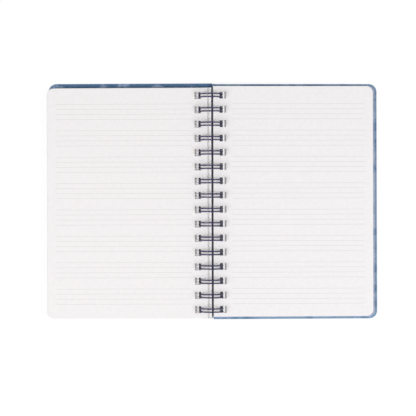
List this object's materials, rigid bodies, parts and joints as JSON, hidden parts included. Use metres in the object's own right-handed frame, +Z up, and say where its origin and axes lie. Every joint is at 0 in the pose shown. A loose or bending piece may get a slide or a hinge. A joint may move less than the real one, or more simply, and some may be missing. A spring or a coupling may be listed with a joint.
{
  "type": "open twin-loop wire notebook",
  "caption": "Ruled notebook lying open: two board covers and two piles of punched sheets on a row of twin-loop wire rings.",
  "frame": {"origin": "middle of the open notebook's footprint, on the surface it lies on", "axes": "+X from the front half (left) to the back half (right), +Y along the wire to the head of the pages, +Z up"},
  "size_m": [0.2946, 0.2104, 0.0219],
  "materials": {
    "coated_wire": "dark navy nylon coat, soft gloss",
    "cover_board": "matt blue paper wrap over board",
    "ruled_paper": "uncoated white paper with pale grey ruling"
  },
  "bodies": {
    "wire": {"twin_loop_wire": "coated_wire"},
    "front_cover": {"front_cover": "cover_board"},
    "turned_pages": {"turned_pages": "ruled_paper"},
    "back_cover": {"back_cover": "cover_board"},
    "unturned_pages": {"unturned_pages": "ruled_paper"}
  },
  "joints": [
    {"name": "front_cover_hinge", "type": "hinge", "parent": "wire", "child": "front_cover", "pos_m": [-0.00109, 0, 0.01093], "axis": [0, 1, 0], "range_deg": [0, 183.1]},
    {"name": "turned_pages_hinge", "type": "hinge", "parent": "front_cover", "child": "turned_pages", "pos_m": [-0.00109, 0, 0.01093], "axis": [0, 1, 0], "range_deg": [0, 176.8]},
    {"name": "back_cover_hinge", "type": "hinge", "parent": "wire", "child": "back_cover", "pos_m": [-0.00109, 0, 0.01093], "axis": [0, 1, 0], "range_deg": [-183.1, 0]},
    {"name": "unturned_pages_hinge", "type": "hinge", "parent": "back_cover", "child": "unturned_pages", "pos_m": [-0.00109, 0, 0.01093], "axis": [0, 1, 0], "range_deg": [-176.8, 0]}
  ]
}
